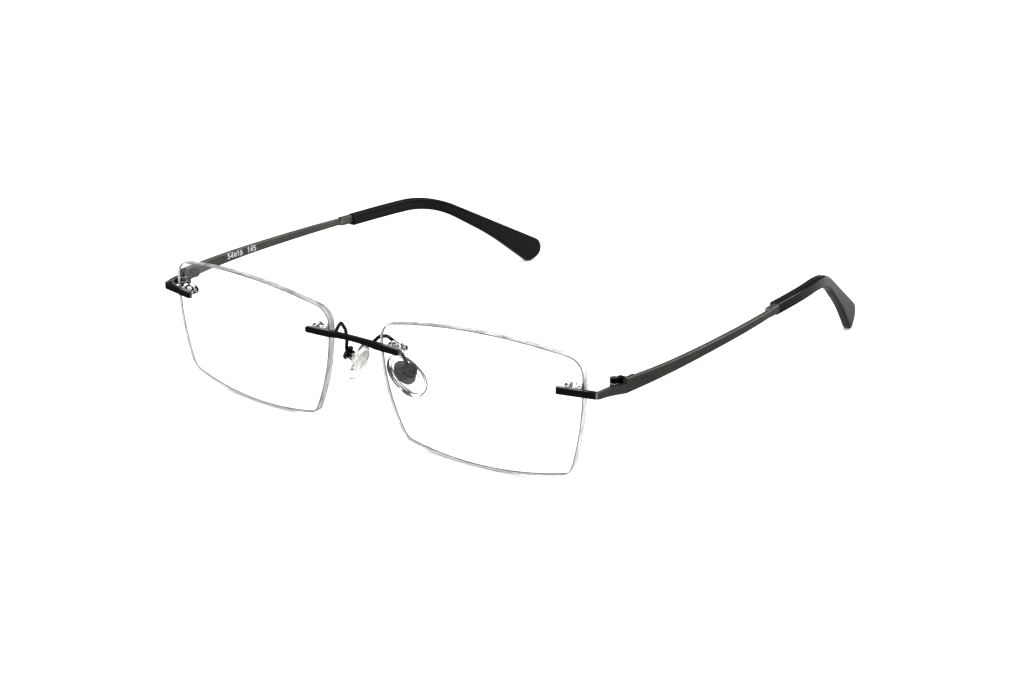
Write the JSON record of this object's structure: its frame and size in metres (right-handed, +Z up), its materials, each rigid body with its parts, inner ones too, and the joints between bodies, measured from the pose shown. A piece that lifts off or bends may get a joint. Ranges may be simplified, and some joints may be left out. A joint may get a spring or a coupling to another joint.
{
  "type": "eyeglasses",
  "caption": "Rimless eyeglasses with drilled clear lenses, bar bridge, silicone nose pads, barrel hinges and flat metal temples with curved tips.",
  "frame": {"origin": "middle of the whole object's footprint, on the surface that it stands on", "axes": "+Z up, -Y the way the lenses face, +Y back along the temples, +X towards the wearer's left"},
  "size_m": [0.1392, 0.1446, 0.0322],
  "materials": {
    "lens": "clear polished",
    "clear_sleeve": "clear moulded",
    "silicone": "clear moulded silicone",
    "black_paint": "satin black paint",
    "gunmetal": "dark plated",
    "brushed_titanium": "dark brushed",
    "steel": "bright turned",
    "washer": "moulded nylon",
    "black_acetate": "polished acetate"
  },
  "bodies": {
    "front": {"bridge_bar": "black_paint", "lens_left": "lens", "lens_right": "lens", "bridge_sleeve_left": "clear_sleeve", "bridge_sleeve_right": "clear_sleeve", "endpiece_sleeve_left": "clear_sleeve", "endpiece_sleeve_right": "clear_sleeve", "pad_arm_left": "gunmetal", "pad_arm_right": "gunmetal", "pad_cup_left": "gunmetal", "pad_cup_right": "gunmetal", "pad_screw_left": "steel", "pad_screw_right": "steel", "endpiece_left": "black_paint", "endpiece_right": "black_paint", "hinge_front_left": "gunmetal", "hinge_front_right": "gunmetal", "hinge_washers_left": "washer", "hinge_washers_right": "washer"},
    "temple_arm_left": {"hinge_rear_left": "gunmetal", "hinge_screw_left": "steel", "temple_left": "brushed_titanium", "tip_core_left": "steel", "temple_tip_left": "black_acetate"},
    "temple_arm_right": {"hinge_rear_right": "gunmetal", "hinge_screw_right": "steel", "temple_right": "brushed_titanium", "tip_core_right": "steel", "temple_tip_right": "black_acetate"},
    "nose_pad_body_left": {"pad_core_left": "steel", "nose_pad_left": "silicone"},
    "nose_pad_body_right": {"pad_core_right": "steel", "nose_pad_right": "silicone"}
  },
  "joints": [
    {"name": "fold_left", "type": "hinge", "parent": "front", "child": "temple_arm_left", "pos_m": [0.06485, -0.0612, 0.0235], "axis": [0, 0, 1], "range_deg": [0, 86]},
    {"name": "fold_right", "type": "hinge", "parent": "front", "child": "temple_arm_right", "pos_m": [-0.06485, -0.0612, 0.0235], "axis": [0, 0, -1], "range_deg": [0, 80]},
    {"name": "pad_rock_left", "type": "hinge", "parent": "front", "child": "nose_pad_body_left", "pos_m": [0.00878, -0.06186, 0.01512], "axis": [-0.0384, -0.8828, -0.4682], "range_deg": [-8, 8]},
    {"name": "pad_rock_right", "type": "hinge", "parent": "front", "child": "nose_pad_body_right", "pos_m": [-0.00878, -0.06186, 0.01512], "axis": [0.0384, -0.8828, -0.4682], "range_deg": [-8, 8]}
  ]
}
